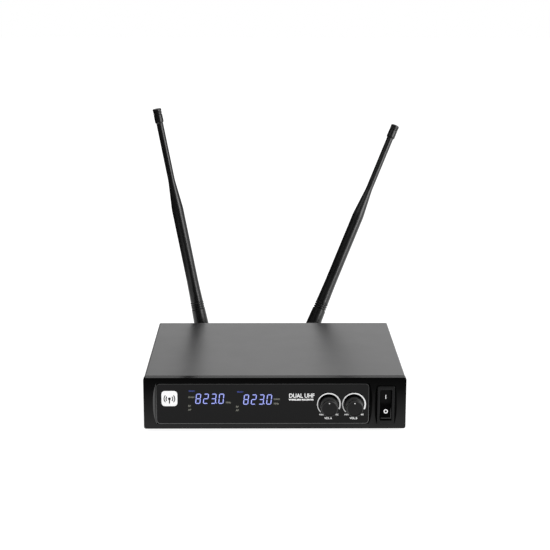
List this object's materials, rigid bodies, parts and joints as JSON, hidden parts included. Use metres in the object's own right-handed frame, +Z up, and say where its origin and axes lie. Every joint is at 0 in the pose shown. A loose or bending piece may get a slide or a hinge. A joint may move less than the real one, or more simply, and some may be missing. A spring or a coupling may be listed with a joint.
{
  "type": "wireless receiver unit",
  "caption": "Half-rack wireless microphone receiver: metal case, glossy display window, volume knobs, rocker power switch, rear output sockets and hinged whip antennas.",
  "frame": {"origin": "on the chassis underside, midway between the four feet", "axes": "+Z up, the front panel faces -Y and the sockets face +Y, +X to the right as seen from the front"},
  "size_m": [0.2318, 0.2743, 0.2414],
  "materials": {
    "case_paint": "satin black powder coat",
    "fascia": "black anodised, finely brushed across",
    "window": "polished smoked acrylic",
    "black_plastic": "fine matt moulding",
    "knob": "smooth semi-gloss",
    "antenna_jacket": "smooth satin rubberised moulding",
    "nickel": "bright nickel plate",
    "brass": "bright",
    "zinc_steel": "zinc-plated",
    "rubber": "matt",
    "circuit_board": "green solder mask",
    "tin_plate": "tinned sheet",
    "lead_jacket": "smooth cable jacket",
    "ribbon": "grey ribbed cable",
    "display": "dark filter",
    "display_glow": "lit blue segments",
    "white_print": "screen-printed ink"
  },
  "bodies": {
    "chassis": {"antenna_lead_a": "lead_jacket", "antenna_lead_b": "lead_jacket", "antenna_socket_a": "nickel", "antenna_socket_b": "nickel", "antenna_socket_nut_a": "nickel", "antenna_socket_nut_b": "nickel", "chassis_tray": "case_paint", "cover_screw_left_front": "zinc_steel", "cover_screw_left_rear": "zinc_steel", "cover_screw_right_front": "zinc_steel", "cover_screw_right_rear": "zinc_steel", "dc_inlet": "black_plastic", "display_module_a": "display", "display_module_b": "display", "display_window": "window", "filter_capacitor": "lead_jacket", "foot_left_front": "rubber", "foot_left_rear": "rubber", "foot_right_front": "rubber", "foot_right_rear": "rubber", "front_board": "circuit_board", "front_panel": "fascia", "jack_nut": "nickel", "jack_socket": "black_plastic", "main_board": "circuit_board", "potentiometer_a": "tin_plate", "potentiometer_b": "tin_plate", "potentiometer_nut_a": "nickel", "potentiometer_nut_b": "nickel", "power_switch_housing": "black_plastic", "regulator_heatsink": "zinc_steel", "ribbon_cable": "ribbon", "switch_lead": "lead_jacket", "top_cover": "case_paint", "tuner_shield_a": "tin_plate", "tuner_shield_b": "tin_plate", "xlr_contacts_a": "brass", "xlr_contacts_b": "brass", "xlr_socket_a": "black_plastic", "xlr_socket_b": "black_plastic"},
    "power_rocker": {"power_switch_rocker": "black_plastic"},
    "volume_control_a": {"volume_knob_a": "knob", "potentiometer_shaft_a": "nickel"},
    "antenna_a_coupling": {"antenna_a_collar": "nickel"},
    "antenna_a_base": {"antenna_a_plug": "nickel", "antenna_a_elbow": "black_plastic"},
    "antenna_a_mast": {"antenna_a_hinge_pin": "zinc_steel", "antenna_a_base_sleeve": "antenna_jacket", "antenna_a_whip": "antenna_jacket", "antenna_a_tip_cap": "antenna_jacket"},
    "volume_control_b": {"volume_knob_b": "knob", "potentiometer_shaft_b": "nickel"},
    "antenna_b_coupling": {"antenna_b_collar": "nickel"},
    "antenna_b_base": {"antenna_b_plug": "nickel", "antenna_b_elbow": "black_plastic"},
    "antenna_b_mast": {"antenna_b_hinge_pin": "zinc_steel", "antenna_b_base_sleeve": "antenna_jacket", "antenna_b_whip": "antenna_jacket", "antenna_b_tip_cap": "antenna_jacket"}
  },
  "joints": [
    {"name": "power_rocker_tilt", "type": "hinge", "parent": "chassis", "child": "power_rocker", "pos_m": [0.0896, -0.0792, 0.0203], "axis": [1, 0, 0], "range_deg": [0, 20]},
    {"name": "volume_a_turn", "type": "hinge", "parent": "chassis", "child": "volume_control_a", "pos_m": [0.04355, -0.09, 0.0207], "axis": [0, 1, 0], "range_deg": [-140, 140]},
    {"name": "volume_b_turn", "type": "hinge", "parent": "chassis", "child": "volume_control_b", "pos_m": [0.06385, -0.09, 0.0207], "axis": [0, 1, 0], "range_deg": [-140, 140]},
    {"name": "antenna_a_coupling_turn", "type": "hinge", "parent": "chassis", "child": "antenna_a_coupling", "pos_m": [-0.0659, 0.0998, 0.024], "axis": [0, 1, 0], "range_deg": [0, 90]},
    {"name": "antenna_a_swivel", "type": "hinge", "parent": "chassis", "child": "antenna_a_base", "pos_m": [-0.0659, 0.1048, 0.024], "axis": [0, 1, 0], "range_deg": [-84.2, 20.8]},
    {"name": "antenna_a_fold", "type": "hinge", "parent": "antenna_a_base", "child": "antenna_a_mast", "pos_m": [-0.0659, 0.1158, 0.024], "axis": [-0.9824, 0, -0.1869], "range_deg": [0, 90]},
    {"name": "antenna_b_coupling_turn", "type": "hinge", "parent": "chassis", "child": "antenna_b_coupling", "pos_m": [0.0339, 0.0998, 0.024], "axis": [0, 1, 0], "range_deg": [0, 90]},
    {"name": "antenna_b_swivel", "type": "hinge", "parent": "chassis", "child": "antenna_b_base", "pos_m": [0.0339, 0.1048, 0.024], "axis": [0, 1, 0], "range_deg": [-33.7, 71.3]},
    {"name": "antenna_b_fold", "type": "hinge", "parent": "antenna_b_base", "child": "antenna_b_mast", "pos_m": [0.0339, 0.1158, 0.024], "axis": [-0.9159, 0, 0.4013], "range_deg": [-16, 74]}
  ]
}
